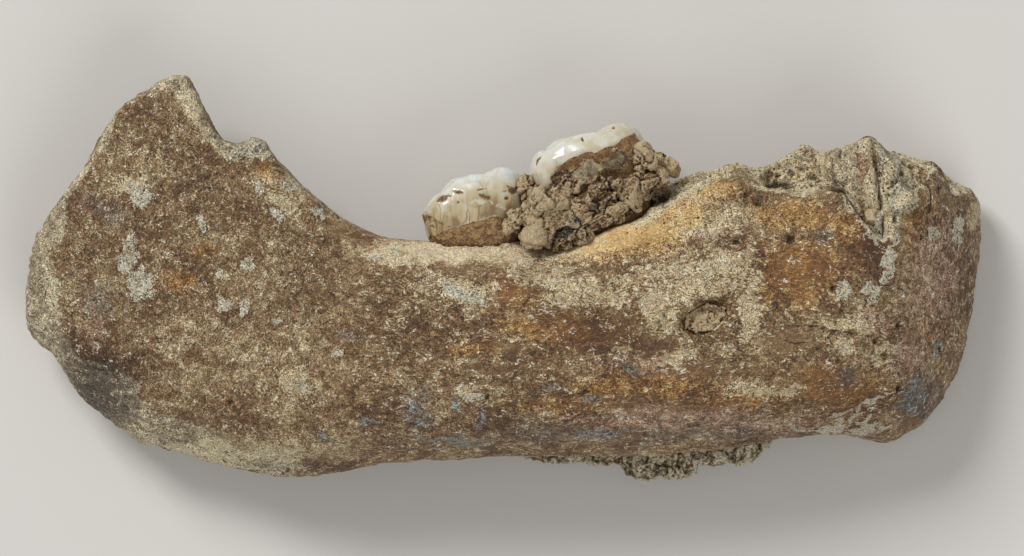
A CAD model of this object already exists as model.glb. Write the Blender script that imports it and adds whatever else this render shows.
"""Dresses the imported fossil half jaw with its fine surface, colours and finish, and sets the stage.

Shapes are worked out in millimetres. The settings hold sizes in metres and linear colours.
"""

import math

import bpy
import numpy as np
from bpy.props import FloatProperty, FloatVectorProperty, PointerProperty
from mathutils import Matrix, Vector, noise


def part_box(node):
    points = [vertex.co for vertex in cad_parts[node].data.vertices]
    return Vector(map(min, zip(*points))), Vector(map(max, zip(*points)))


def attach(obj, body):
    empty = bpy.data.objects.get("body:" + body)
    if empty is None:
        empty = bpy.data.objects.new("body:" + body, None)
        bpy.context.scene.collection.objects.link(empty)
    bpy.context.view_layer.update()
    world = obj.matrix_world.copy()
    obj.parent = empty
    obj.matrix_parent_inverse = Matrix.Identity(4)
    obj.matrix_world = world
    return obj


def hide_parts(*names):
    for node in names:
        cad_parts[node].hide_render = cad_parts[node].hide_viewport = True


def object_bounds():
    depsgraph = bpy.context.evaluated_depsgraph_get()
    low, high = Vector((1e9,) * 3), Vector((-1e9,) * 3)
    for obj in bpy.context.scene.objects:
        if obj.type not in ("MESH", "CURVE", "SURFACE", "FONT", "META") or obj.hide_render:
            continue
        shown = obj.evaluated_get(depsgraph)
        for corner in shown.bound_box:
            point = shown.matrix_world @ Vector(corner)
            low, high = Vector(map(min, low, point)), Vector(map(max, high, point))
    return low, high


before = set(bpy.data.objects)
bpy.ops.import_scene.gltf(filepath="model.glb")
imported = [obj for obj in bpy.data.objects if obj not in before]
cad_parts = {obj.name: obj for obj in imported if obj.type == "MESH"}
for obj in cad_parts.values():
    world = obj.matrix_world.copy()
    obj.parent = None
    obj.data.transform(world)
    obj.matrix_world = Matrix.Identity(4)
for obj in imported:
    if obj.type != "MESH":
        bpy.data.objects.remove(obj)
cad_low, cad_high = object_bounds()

bl_info = {
    "name": "Fossil half jaw",
    "version": (1, 0, 0),
    "blender": (4, 5, 0),
    "location": "3D View > Sidebar > Jaw",
    "description": "Builds the weathered surface, teeth, sediment and crusts of a fossil half jaw",
    "category": "Object",
}

MM = 0.001
LOW = np.array(cad_low) / MM
HIGH = np.array(cad_high) / MM

# Places on the cheek side are measured on the museum view, in steps right and down from its corner.
# The nerve opening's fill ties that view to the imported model.
STEP = 0.12
OPENING = (703.3, 317.8)
FILL_MIDDLE = (np.array(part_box("foramen_fill")[0]) + np.array(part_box("foramen_fill")[1])) / 2 / MM
CORNER = (FILL_MIDDLE[0] - OPENING[0] * STEP, FILL_MIDDLE[1] + OPENING[1] * STEP)
VIEW_MIDDLE = (512, 278)

# Oval patches of each colour or finish on the cheek side: how soft their edges are, from 0 to 1, and
# for each its place, half-sizes and turn in degrees
BONE_PATCHES = {
    "cream": (0.8, (
        (461, 292, 30, 15, -8), (591, 290, 46, 17, -4), (702, 268, 48, 15, 0), (655, 302, 22, 28, 20),
        (748, 300, 16, 34, 0), (762, 388, 40, 9, -3), (285, 202, 26, 15, -50), (140, 180, 24, 16, 30),
        (490, 398, 14, 8, 20), (700, 352, 38, 8, 10), (300, 400, 30, 22, 0), (250, 380, 20, 12, 0),
        (290, 340, 20, 30, 0), (845, 325, 26, 8, -12), (842, 348, 16, 10, 0), (880, 360, 14, 16, 0),
        (240, 345, 22, 12, 0), (960, 330, 7, 16, 0), (120, 150, 14, 10, 40), (400, 262, 34, 9, -12),
        (880, 300, 26, 12, 0), (560, 262, 50, 6, 4), (180, 330, 30, 14, 0), (215, 240, 22, 10, 0),
    )),
    "skin": (0.7, (
        (461, 291, 28, 13, -10), (524, 272, 18, 9, -12), (560, 282, 30, 14, -18), (604, 294, 34, 12, -4),
        (640, 276, 34, 9, 10), (690, 268, 40, 9, 4), (735, 262, 20, 16, 0), (655, 306, 16, 26, 20),
        (680, 352, 20, 8, 0), (748, 306, 12, 34, 0), (705, 288, 40, 8, 6), (845, 325, 22, 6, -12),
        (760, 388, 30, 5, -3), (842, 348, 12, 7, 0), (138, 182, 16, 9, 20), (300, 384, 18, 10, -20),
        (285, 205, 14, 7, -50), (393, 262, 16, 5, -12), (470, 385, 12, 5, 0), (880, 356, 9, 12, 0),
        (420, 290, 12, 6, 0), (618, 352, 26, 3, 4), (560, 300, 20, 5, 0),
    )),
    "white": (0.5, (
        (143, 197, 12, 8, 20), (136, 186, 7, 6, 0), (131, 256, 8, 15, -8), (140, 286, 12, 15, -20),
        (249, 265, 4, 8, -10), (222, 274, 5, 4, 0), (222, 303, 4, 8, 5), (206, 224, 4, 8, 0),
        (243, 305, 4, 7, 10), (280, 324, 6, 5, 0), (305, 384, 11, 3, -40), (839, 291, 6, 12, 0),
        (866, 293, 9, 5, -20), (889, 262, 8, 14, 10), (880, 280, 8, 6, 30), (932, 234, 3, 9, -15),
        (956, 231, 6, 13, -15), (371, 254, 6, 6, 0), (398, 253, 10, 4, -20), (468, 296, 20, 5, -16),
        (448, 288, 10, 6, -20), (474, 301, 12, 4, 0), (318, 213, 8, 4, -40), (291, 183, 7, 5, 0),
        (340, 353, 7, 4, 0), (902, 204, 16, 10, 25), (889, 229, 8, 14, 0), (884, 200, 6, 30, 0),
        (893, 175, 8, 14, 0), (874, 236, 5, 6, -30), (280, 218, 8, 4, -30), (262, 190, 7, 5, -30),
        (884, 222, 11, 18, 0), (905, 196, 10, 10, 0), (889, 160, 10, 16, 0), (250, 149, 14, 9, 0),
    )),
    "plaster": (0.4, (
        (802, 426, 12, 3, 0), (829, 427, 13, 6, 10), (836, 412, 6, 3, 0), (862, 427, 14, 5, 0),
        (871, 400, 12, 3.2, 5), (851, 412, 13, 2.2, 55), (870, 417, 8, 3, 50), (884, 428, 9, 2.6, 20),
        (475, 399, 9, 6, 0),
    )),
    "ochre": (0.7, (
        (625, 241, 64, 18, 6), (680, 214, 26, 14, 24), (795, 272, 46, 34, 0), (872, 252, 26, 14, 0),
        (560, 330, 60, 14, -6), (640, 385, 70, 12, 0), (840, 385, 46, 20, 0), (930, 320, 16, 34, 0),
        (740, 404, 50, 12, 0), (513, 292, 20, 12, -30), (720, 190, 24, 14, 10), (470, 350, 24, 8, 0),
        (560, 405, 60, 8, 0), (916, 225, 14, 20, 0), (845, 232, 30, 16, -40), (790, 215, 40, 16, 0),
        (205, 250, 12, 5, 0), (265, 171, 10, 9, 0), (180, 280, 16, 12, 0), (600, 300, 14, 8, 0),
    )),
    "smooth": (0.6, (
        (513, 292, 21, 13, -30), (560, 318, 36, 9, -6), (601, 336, 56, 16, -3), (645, 344, 36, 14, 0),
        (510, 349, 20, 5, 0), (470, 268, 44, 6, -12), (830, 385, 46, 18, -4), (872, 252, 26, 12, 0),
        (800, 270, 36, 26, 0), (660, 404, 80, 9, 0), (540, 366, 50, 5, 0), (905, 160, 12, 9, -20),
        (622, 236, 44, 12, 6), (440, 250, 66, 9, -4), (545, 250, 56, 9, 6), (790, 340, 26, 10, 0),
        (700, 372, 60, 6, 0), (350, 235, 26, 6, -34),
    )),
    "mauve": (0.8, (
        (95, 205, 13, 10, 0), (115, 217, 12, 14, 0), (101, 300, 18, 18, 0), (350, 335, 14, 8, 0),
        (928, 400, 22, 24, 0), (300, 170, 40, 6, -42), (560, 432, 90, 8, 0), (420, 395, 16, 8, 0),
        (112, 375, 24, 10, -40), (850, 375, 20, 10, 0), (629, 369, 12, 8, 0), (822, 236, 14, 7, 0),
        (700, 434, 90, 6, 0), (903, 160, 16, 7, -25), (215, 135, 8, 12, 0), (790, 158, 16, 8, 0),
    )),
    "blue": (0.7, (
        (325, 432, 12, 6, 0), (369, 423, 9, 5, 0), (418, 414, 15, 14, 0), (456, 402, 9, 9, 0),
        (480, 421, 7, 12, 0), (550, 387, 14, 4, 0), (588, 397, 11, 6, 0), (595, 431, 30, 9, 0),
        (912, 394, 12, 26, -20), (935, 350, 8, 14, -20), (450, 440, 40, 5, 0),
    )),
    "pink": (0.8, (
        (440, 250, 60, 10, -4), (530, 250, 44, 9, 6), (930, 280, 24, 60, 0), (680, 418, 110, 12, 0),
        (858, 180, 6, 30, 0), (95, 330, 16, 12, 0), (640, 365, 30, 8, 0), (870, 320, 20, 14, 0),
        (700, 232, 20, 7, 0), (905, 350, 18, 20, 0), (780, 425, 60, 8, 0),
    )),
    "spongy": (0.4, (
        (650, 197, 26, 10, 10), (795, 178, 36, 13, 0), (804, 156, 10, 12, 0), (889, 172, 13, 34, 0),
        (906, 184, 14, 20, -20), (240, 150, 18, 12, -20), (868, 146, 14, 8, 0), (262, 150, 12, 9, -30),
    )),
    "tan": (0.5, (
        (700, 178, 34, 8, 20), (846, 148, 22, 8, 18), (870, 190, 5, 26, 0), (824, 160, 7, 12, 10),
        (196, 118, 8, 26, 24), (225, 146, 12, 10, 0), (976, 217, 6, 20, 0),
    )),
}
# The greyish walls of broken sockets, and the brightest lime crust on the breach's right side
WALL_PATCHES = (
    (842, 172, 13, 18, -15), (850, 196, 8, 16, -15), (778, 160, 20, 8, 10), (907, 172, 8, 12, 0),
)
BRIGHT_PATCHES = (
    (889, 163, 6, 16, -10), (905, 199, 12, 7, 25), (888, 226, 6, 13, 0), (885, 192, 4, 24, 0),
    (806, 160, 7, 9, 0),
)
# Outline of the brown cheek face: the broken and worn edge lies outside it
FACE_OUTLINE = (
    (160, 88), (142, 96), (123, 108), (113, 125), (83, 175), (66, 218), (60, 245), (52, 266),
    (61, 290), (64, 327), (72, 353), (112, 369), (142, 384), (155, 415), (208, 430), (238, 449),
    (340, 462), (420, 600), (1100, 600), (1100, 0), (330, 100), (272, 150), (255, 158), (240, 164),
    (218, 147), (203, 130), (190, 108), (178, 90),
)
# Outlines of the broken edge behind the front premolar's socket and at it, and of the breach in its wall
CREST_REAR = (
    (600, 219), (620, 207.5), (644, 210), (659, 209.5), (668, 204.6), (685, 191.6), (701, 182.5),
    (718, 177), (737, 168.5), (728, 160), (700, 166), (679, 172), (664, 172), (650, 176),
    (632, 184), (612, 203),
)
CREST_FRONT = (
    (757, 187), (769, 190), (780, 193), (797, 195), (814, 189.5), (830, 184.5), (822, 170),
    (817, 156), (806, 150), (798, 154), (782, 163), (762, 172),
)
BREACH = (
    (830, 184.5), (837, 189), (845, 199), (852, 212), (861.5, 225), (868, 235), (878.5, 243),
    (881, 241), (894, 236), (895.5, 217), (902, 208), (917, 200), (903, 186), (897, 168),
    (884, 149), (866, 130), (845, 136), (824, 146), (822, 168),
)
# How far the two stretches of broken edge are let down, in mm
REAR_DEPTH = 0.35
FRONT_DEPTH = 0.9
# The breach's left side, its slit and its right side, each as places along its rows
BREACH_LEFT = ((150, 822), (168, 823), (181, 830), (192, 843), (212, 857), (225, 866), (243, 878))
BREACH_SLIT = ((150, 872), (168, 875), (198, 876.5), (212, 878), (243, 880))
BREACH_RIGHT = (
    (140, 884), (151, 886), (168, 898), (186, 906), (200, 915), (208, 902), (217, 896), (236, 894),
    (243, 882),
)
# Its floor from left side 0 over the slit 1 to right side 2, as height in mm
BREACH_FLOOR = (
    (0, 17.2), (0.15, 15.7), (0.45, 15.3), (0.6, 16.0), (0.75, 16.7), (0.86, 17.2), (0.94, 16.9),
    (1, 15.5), (1.1, 16.2), (1.5, 17.3), (1.8, 18.2), (2, 19.0),
)
# Sculpted marks: place, half-sizes, turn and height in mm
PITS = (
    (585, 390, 3.0, 2.6, 0, -0.8), (789, 239, 4.2, 4.8, 0, -0.9), (735, 243, 3.6, 3.0, 0, -0.5),
    (722, 243, 13.0, 6.5, -5, -0.28), (830, 289, 2.6, 2.6, 0, -0.7), (897, 325, 3.0, 2.8, 0, -0.9),
    (883, 356, 3.2, 2.8, 0, -0.9), (941, 350, 2.2, 3.6, 0, -0.7), (898, 389, 3.2, 3.0, 0, -0.7),
    (939, 188, 2.2, 2.2, 0, -0.6), (488, 397, 2.4, 3.0, 0, -0.6), (878, 330, 2.0, 2.0, 0, -0.4),
    (816, 349, 2.6, 2.2, 0, -0.3), (655, 200, 12.0, 6.0, 12, -1.0), (782, 185, 10.0, 3.5, -6, -0.8),
    (768, 186, 4.0, 2.6, 0, -0.6), (812, 176, 4.0, 3.0, 30, -0.5), (800, 170, 4, 3, 0, -0.4),
    (790, 174, 3.0, 2.4, 0, -0.4), (820, 186, 3, 2, 0, -0.4), (889, 186, 3.0, 4.4, 0, -0.6),
    (901, 172, 3.0, 4.0, 0, -0.6), (629, 369, 7.0, 5.0, 10, -0.3), (873, 342, 2.2, 2.0, 0, -0.4),
    (893, 217, 2.4, 6.0, 0, -0.7), (96, 300, 4.0, 3.0, 0, -0.2), (232, 402, 3.4, 3.0, 0, -0.4),
    (757, 204, 4.0, 3.0, 0, -0.4), (745, 195, 3.4, 3.4, 0, -0.4), (699, 190, 4.0, 2.0, 20, -0.4),
    (672, 198, 3.0, 2.4, 0, -0.5), (839, 152, 2.0, 7.0, 0, -0.5), (920, 238, 2.0, 2.0, 0, -0.4),
    (206, 189, 3.0, 2.0, 0, -0.2),
)
RIDGES = (
    (662, 322, 19, 2.6, -58, 0.35), (305, 384, 12, 3.0, -40, 0.3), (318, 213, 9, 4, -45, 0.25),
    (55, 255, 3, 14, -22, 0.25), (705, 316, 34, 25, 28, 0.25), (805, 152, 7, 8, 0, 0.5),
)
# Thin white broken rims, each a path
RIMS = (
    ((757, 188), (769, 190), (780, 193), (797.7, 194.5), (814, 188.8), (830.4, 183.9)),
    ((830.4, 183.9), (837, 188.8), (845, 198.6), (851.7, 211.7), (861.5, 224.8), (868, 234.6),
     (878.7, 242.8)),
    ((881, 241), (894, 236), (895, 216.6), (902.4, 208.4), (917, 200)),
    ((584.6, 232.4), (605, 215.7), (620, 207), (644, 209), (659, 209), (668, 204.6), (685, 191.6),
     (701.5, 182), (718, 176.7), (737, 167.4)),
    ((816.5, 152.7), (822, 167.5), (830, 180.6), (843.5, 192), (856.6, 211.7)),
    ((884, 149), (903, 152), (917, 159), (932, 165)),
    ((176, 92), (190, 110), (204, 131), (216, 148)),
)
THIN_RIMS = (
    ((676, 326), (685, 340), (697, 343), (715, 331), (733, 316), (738, 304)),
    ((446, 374), (462, 362), (480, 352), (494, 345)),
    ((620, 330), (640, 322), (652, 338), (668, 346)),
)
# Cracks, each a path
CRACKS = (
    ((793, 326), (812, 327), (838, 331), (856, 335), (872, 337)),
    ((781, 341), (792, 343), (803, 342)),
    ((826, 338), (831, 332)),
    ((882, 218), (881, 230), (881, 244)),
    ((876, 165), (876.5, 182), (877, 199)),
    ((928, 184), (929, 198), (928, 213)),
    ((938, 184), (938, 193)),
    ((530, 297), (524, 304), (521, 312)),
)
# Lower border of the enamel on each molar, white spots low on the second one, and brown stains on each
SECOND_BORDER = (
    (420, 240), (434, 236), (448, 229), (462, 226), (474, 223), (488, 217), (500, 216), (520, 222),
)
FIRST_BORDER = (
    (515, 178), (530, 184), (545, 187), (551, 183), (555, 172), (566, 161), (580, 155), (596, 151.5),
    (615, 147), (625, 138), (634, 135), (642, 144), (652, 154),
)
CHALK_PATCHES = (
    (454, 205, 13, 2.4, 6), (478, 203, 11, 3.0, -4), (497, 206, 7, 2.6, -6),
)
SECOND_STAINS = (
    (443, 201, 6, 2.4, 10), (456, 193, 4.4, 2.8, 20), (458, 202, 2.6, 2, 0), (486, 198, 6.4, 3.0, -30),
    (485, 190, 5, 1.6, 10), (516, 189, 11, 3.4, 8), (431, 217, 5, 2, -30), (440, 221, 5, 1.6, -30),
    (424, 222, 2.0, 12, -20), (448, 224, 5, 1.2, -20), (434, 227, 5, 1.6, -20), (507, 199, 3, 2, 0),
)
FIRST_STAINS = (
    (582, 138, 2.0, 1.6, 0), (612, 128, 3.4, 1.2, 0), (538, 160, 1.6, 6, -20), (645, 148, 2, 7, 0),
)
# Where the surface is lighter or darker: an oval patch and how much
TONES = (
    (440, 250, 70, 10, -4, 0.46), (600, 238, 84, 16, 10, 0.42), (700, 290, 60, 40, 0, 0.08),
    (180, 290, 34, 20, 0, -0.14), (220, 310, 24, 14, 20, -0.1), (80, 245, 12, 40, 0, -0.12),
    (601, 338, 66, 16, -3, -0.2), (690, 190, 60, 20, 18, 0.26), (870, 420, 40, 20, -20, 0.05),
    (866, 185, 44, 46, 0, 0.12), (340, 445, 34, 12, 0, -0.08), (790, 178, 34, 16, 0, 0.36),
    (513, 292, 20, 12, -30, -0.12), (800, 262, 44, 30, 0, -0.06), (92, 388, 40, 40, -30, -0.56),
    (240, 455, 110, 14, 4, 0.46), (965, 300, 14, 110, 0, -0.1), (820, 400, 110, 40, 0, -0.08),
    (360, 320, 50, 34, 0, -0.08), (540, 410, 220, 30, 0, -0.04), (715, 222, 40, 14, 10, 0.16),
    (270, 330, 90, 70, 0, 0.03), (560, 247, 44, 6, -2, 0.34), (622, 224, 40, 6, 22, 0.42),
    (668, 205, 20, 6, 30, 0.34), (868, 248, 22, 15, -10, -0.3), (440, 252, 60, 10, 0, 0.2),
    (893, 195, 14, 40, 0, 0.4), (815, 175, 16, 16, 0, 0.2), (846, 178, 15, 26, -15, -0.16),
    (868, 182, 5, 26, 0, 0.2), (580, 285, 44, 12, 0, 0.12), (300, 466, 90, 6, 0, -0.2),
    (930, 190, 22, 30, 0, -0.04), (900, 270, 40, 30, 0, -0.02), (650, 390, 80, 16, 0, -0.06),
)
# In the sediment: grey stones, the smooth slab of root that shows under the first molar, how often the
# slab's shape is averaged, and the brown deposit along its upper edge
GREY_STONES = ((570, 222, 12, 11, 0), (560, 232, 8, 6, 0), (542, 240, 6, 4, 0))
ROOT_SLABS = ((604, 164, 34, 10, 20),)
SLAB_ROUNDS = 60
ROOT_BANDS = ((580, 160, 27, 4.2, 24),)
# Flat facets of the broken bits: direction and distance from the middle in mm
ROOT_CHIPS = (
    (-0.5, 0.5, 0.8, 1.0), (0.6, 0.7, 0.6, 1.2), (-0.2, -0.6, 0.9, 0.9), (0.9, -0.3, 0.5, 1.6),
    (0.1, 0.2, 1.0, 1.1), (-0.9, -0.2, 0.3, 1.8),
)
FLAKE_CHIPS = (
    (0.1, 0.25, 1.0, 0.25), (0.0, -0.85, 0.6, 0.6), (-0.95, -0.1, 0.2, 0.85), (0.95, 0.2, 0.2, 0.8),
    (-0.6, 0.8, 0.3, 0.85),
)
# Large, unlike numbers that turn the middle of a facet into the way that it leans
SPIN = ((12.9, 26.6, 41.3), (78.2, 51.7, 19.4), (37.7, 63.1, 85.8))
# Added in mm to the distance from a crack away from the cheek side, where there is none
FAR = 9.0
# Heights and depths of the bone's relief in mm: swells, lumps, plates of bone, lime skin, white lime, thick
# fill, worn strands and lumps between them, broken spongy bone and its holes, cracks and broken rims
SWELL_HEIGHT, LUMP_HEIGHT = 0.20, 0.14
PLATE_HEIGHT, SKIN_HEIGHT, WHITE_HEIGHT, FILL_HEIGHT = 0.07, 0.09, 0.08, 0.18
STRAND_HEIGHT, WORN_HEIGHT, WORN_DEPTH = 0.34, 0.22, 0.12
SPONGE_HEIGHT, HOLE_DEPTH = 0.25, 0.42
CRACK_DEPTH, RIM_HEIGHT = 0.2, 0.09
# Relief of the teeth in mm: the enamel's step over the root, its swells and wear, grooves and stains, and
# the root's crumbs and grain
ENAMEL_STEP, ENAMEL_SWELL, WEAR_HEIGHT, GROOVE_DEPTH, STAIN_DEPTH = 0.12, 0.05, 0.03, 0.35, 0.06
ROOT_CRUMB, ROOT_GRAIN = 0.08, 0.06
# Relief of crumbly pieces: leaning clods, their rounded edges and how far both are let in, and small shards
# and crumbs, as shares of a piece's own heights
CLOD_LEAN, CLOD_ROUND, CLOD_DEPTH, SHARD_LEAN, CRUMB_SWELL, GRAIN_SWELL = 0.7, 0.3, 0.25, 0.22, 0.14, 0.05
# Distance between the creases of the sediment, and size of its small shards, in mm
CREASE_GAP, SHARD_SIZE = 3.4, 1.2
# How far the smooth slab of root is let in, in mm
SLAB_DEPTH = 0.35
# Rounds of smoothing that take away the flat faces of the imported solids
BONE_ROUNDS, CARVED_ROUNDS, MOLAR_ROUNDS, EARTH_ROUNDS = 12, 3, 14, 8
BONE_SHARES = (*BONE_PATCHES, "margin", "lengthwise", "stood", "rim", "hollow", "lift", "pored", "crack")
TOOTH_SHARES = ("cover", "stain", "tartar", "age", "craze", "chalk", "hollow")
EARTH_SHARES = ("edge", "hollow", "accent", "slab", "band", "lift")


def linear(colour):
    """Linear colour, with alpha, of an sRGB hex value."""
    parts = [int(colour[k:k + 2], 16) / 255 for k in (1, 3, 5)]
    return tuple(p / 12.92 if p <= 0.04045 else ((p + 0.055) / 1.055) ** 2.4 for p in parts) + (1.0,)


def length(name, description, millimetres):
    """Setting in metres, given in mm."""
    return FloatProperty(name=name, description=description, default=millimetres * MM, min=0.0,
                         unit="LENGTH", subtype="DISTANCE")


def colour(name, description, value):
    """Setting in linear colour, given as an sRGB hex value."""
    return FloatVectorProperty(name=name, description=description, default=linear(value), size=4,
                               min=0.0, max=1.0, subtype="COLOR")


def ease(share):
    """Smooth step from 0 to 1."""
    share = np.clip(share, 0.0, 1.0)
    return share * share * (3 - 2 * share)


def measured(u, v):
    """Forward and up place in mm of a spot measured on the museum view."""
    return CORNER[0] + u * STEP, CORNER[1] - v * STEP


def oval(points, spot):
    """Distance from the middle of an oval patch, 1 at its edge."""
    u, v, half_u, half_v, turn = spot
    x, y = measured(u, v)
    turn = math.radians(turn)
    along = (points[:, 0] - x) * math.cos(turn) + (points[:, 1] - y) * math.sin(turn)
    across = (points[:, 1] - y) * math.cos(turn) - (points[:, 0] - x) * math.sin(turn)
    return np.hypot(along / (half_u * STEP), across / (half_v * STEP))


def patches(points, spots, soft=0.5):
    """Share from 0 to 1 of how far each point lies inside a patch, 0.5 at the patch's edge."""
    reach = np.zeros(len(points))
    for spot in spots:
        reach = np.maximum(reach, ease((1 + soft - oval(points, spot)) / (2 * soft)))
    return reach


def relief(points, marks):
    """Height in mm that the sculpted marks add at each point."""
    total = np.zeros(len(points))
    for mark in marks:
        total += mark[5] * np.exp(-oval(points, mark[:5]) ** 4)
    return total


def away(points, paths):
    """Distance in mm from the nearest of some measured paths."""
    best = np.full(len(points), 1e3)
    for path in paths:
        corners = np.array([measured(*corner) for corner in path])
        for start, end in zip(corners, corners[1:]):
            run = end - start
            offset = points[:, :2] - start
            along = np.clip(offset @ run / (run @ run), 0, 1)
            best = np.minimum(best, np.hypot(*(offset - along[:, None] * run).T))
    return best


def outside(points, path):
    """Distance in mm outside a closed measured path, negative inside."""
    corners = np.array([measured(*corner) for corner in path])
    x, y = points[:, 0], points[:, 1]
    inside = np.zeros(len(points), bool)
    for (ax, ay), (bx, by) in zip(corners, np.roll(corners, -1, axis=0)):
        crosses = (ay > y) != (by > y)
        inside ^= crosses & (x < (bx - ax) * (y - ay) / (by - ay + 1e-12) + ax)
    edge = away(points, (path + path[:1],))
    return np.where(inside, -edge, edge)


def field(points, size, seed=0, octaves=1):
    """Smooth noise about 0 at each point, with swells of the given size in mm."""
    shift = np.array((7.31, 3.17, 5.53)) * seed
    return np.array([noise.fractal(p, 1.0, 2.0, octaves) for p in (points / size + shift).tolist()])


def cells(points, size, seed=0):
    """Distance from the middle of the nearest cell, and from the seam between cells."""
    shift = np.array((2.17, 9.71, 4.43)) * seed
    found = [noise.voronoi(p)[0] for p in (points / size + shift).tolist()]
    found = np.array([(near[0], near[1] - near[0]) for near in found])
    return found[:, 0], found[:, 1]


def shards(points, size, seed):
    """Height of flat, leaning facets of the given size in mm, from about -1 to 1."""
    places = points / size + np.array((4.31, 8.17, 1.53)) * seed
    middles = np.array([noise.voronoi(p)[1][0] for p in places.tolist()])
    lean = np.sin(middles @ np.array(SPIN))
    return 0.5 * lean[:, 2] + 0.7 * (lean * (places - middles)).sum(axis=1)


def wandered(points, seed, broad=0.9, fine=0.35):
    """The points moved a little by noise, so that what is laid out on them gets ragged edges."""
    moved = points.copy()
    for axis in (0, 1):
        moved[:, axis] += broad * field(points, 3.2, seed + axis, 2)
        moved[:, axis] += fine * field(points, 0.9, seed + axis + 5, 1)
    return moved


def even_faces(piece, size):
    """Gives a piece an even mesh over its shape, of faces of the given size in metres."""
    remesh = piece.modifiers.new("Even faces", "REMESH")
    remesh.mode = "VOXEL"
    remesh.voxel_size = size
    graph = bpy.context.evaluated_depsgraph_get()
    mesh = bpy.data.meshes.new_from_object(piece.evaluated_get(graph))
    piece.modifiers.clear()
    piece.data = mesh


def fine_copy(node, name, size):
    """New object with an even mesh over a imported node."""
    piece = bpy.data.objects.new(name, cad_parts[node].data.copy())
    bpy.context.scene.collection.objects.link(piece)
    piece.data.materials.clear()
    even_faces(piece, size)
    return piece


def points_of(piece):
    """Places of the mesh's points in mm."""
    found = np.empty(len(piece.data.vertices) * 3, np.float32)
    piece.data.vertices.foreach_get("co", found)
    return found.reshape(-1, 3).astype(float) / MM


def move_points(piece, points):
    """Puts the mesh's points at these places in mm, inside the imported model's box."""
    points = np.clip(points, LOW, HIGH)
    piece.data.vertices.foreach_set("co", (points * MM).astype(np.float32).ravel())
    piece.data.update()


def normals_of(piece):
    """Direction out of the surface at each of the mesh's points."""
    found = np.empty(len(piece.data.vertices) * 3, np.float32)
    piece.data.vertex_normals.foreach_get("vector", found)
    return found.reshape(-1, 3).astype(float)


def links_of(piece):
    """The two points at the ends of each of the mesh's edges."""
    found = np.empty(len(piece.data.edges) * 2, np.int32)
    piece.data.edges.foreach_get("vertices", found)
    return found.reshape(-1, 2)


def averaged(values, links):
    """Mean of the values at each point's neighbours."""
    count = np.maximum(np.bincount(links.ravel(), minlength=len(values)), 1)
    first, second = links.T
    columns = values.reshape(len(values), -1).T
    total = [np.bincount(first, column[second], len(values))
             + np.bincount(second, column[first], len(values)) for column in columns]
    return (np.array(total) / count).T.reshape(values.shape)


def relaxed(points, links, rounds, share):
    """The points with flat faces smoothed away, by a share at each point, without shrinking."""
    for _ in range(rounds):
        for pull in (0.5, -0.52):
            points = points + (averaged(points, links) - points) * pull * share[:, None]
    return points


def bulge(points, normals, links, rounds=2):
    """How far each point stands out from those round it, in mm: under 0 in a hollow."""
    rise = ((points - averaged(points, links)) * normals).sum(axis=1)
    for _ in range(rounds):
        rise = (rise + averaged(rise, links)) / 2
    return rise


def paint(piece, **shares):
    """Stores shares at each point of the mesh, for its material."""
    for name, values in shares.items():
        layer = piece.data.attributes.new(name, "FLOAT", "POINT")
        spread = np.broadcast_to(values, len(piece.data.vertices))
        layer.data.foreach_set("value", spread.astype(np.float32))


def place_piece(piece, node, finish):
    """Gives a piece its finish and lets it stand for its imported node."""
    piece.data.materials.append(finish)
    piece.data.shade_smooth()
    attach(piece, "root")
    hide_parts(node)


def add(tree, kind, sockets=None, stops=(), out=0, **settings):
    """Adds a node with its settings, socket values or links and colour stops; gives one output."""
    made = tree.nodes.new("ShaderNode" + kind)
    for name, value in settings.items():
        setattr(made, name, value)
    for key, value in (sockets or {}).items():
        if isinstance(value, bpy.types.NodeSocket):
            tree.links.new(value, made.inputs[key])
        else:
            made.inputs[key].default_value = value
    for k, (place, shade) in enumerate(stops):
        if k >= len(made.color_ramp.elements):
            made.color_ramp.elements.new(place)
        made.color_ramp.elements[k].position = place
        made.color_ramp.elements[k].color = shade
    return made.outputs[out] if made.outputs else None


def new_finish(name):
    """Empty material, and the place on the object in metres that its patterns follow."""
    finish = bpy.data.materials.new(name)
    finish.use_nodes = True
    finish.node_tree.nodes.clear()
    return finish, finish.node_tree, add(finish.node_tree, "TexCoord", out=3)


def mottle(tree, place, size, detail=2.0, bend=0.6, spread=0.14):
    """Cloudy pattern with swells of a size in metres, spread evenly from 0 to 1."""
    cloud = add(tree, "TexNoise", {"Vector": place, "Scale": 1 / size, "Detail": detail,
                                   "Roughness": 0.62, "Distortion": bend})
    return add(tree, "MapRange", {"Value": cloud, "From Min": 0.5 - spread,
                                  "From Max": 0.5 + spread}, interpolation_type="SMOOTHSTEP")


def blended(tree, parts):
    """Sum of patterns, each times its weight."""
    total = 0.0
    for pattern, weight in parts:
        total = add(tree, "Math", {0: pattern, 1: weight, 2: total}, operation="MULTIPLY_ADD")
    return total


def layered(tree, base, layers):
    """Lays colours over a base, each where its share passes from low to high."""
    for share, low, high, shade in layers:
        cover = add(tree, "MapRange", {"Value": share, "From Min": low, "From Max": high},
                    interpolation_type="SMOOTHSTEP")
        base = add(tree, "Mix", {0: cover, 6: base, 7: shade}, out=2, data_type="RGBA")
    return base


def shaded(tree, base, factors):
    """Darkens or lightens a colour by patterns."""
    for factor in factors:
        base = add(tree, "Mix", {0: 1.0, 6: base, 7: factor}, out=2, data_type="RGBA",
                   blend_type="MULTIPLY")
    return base


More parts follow.
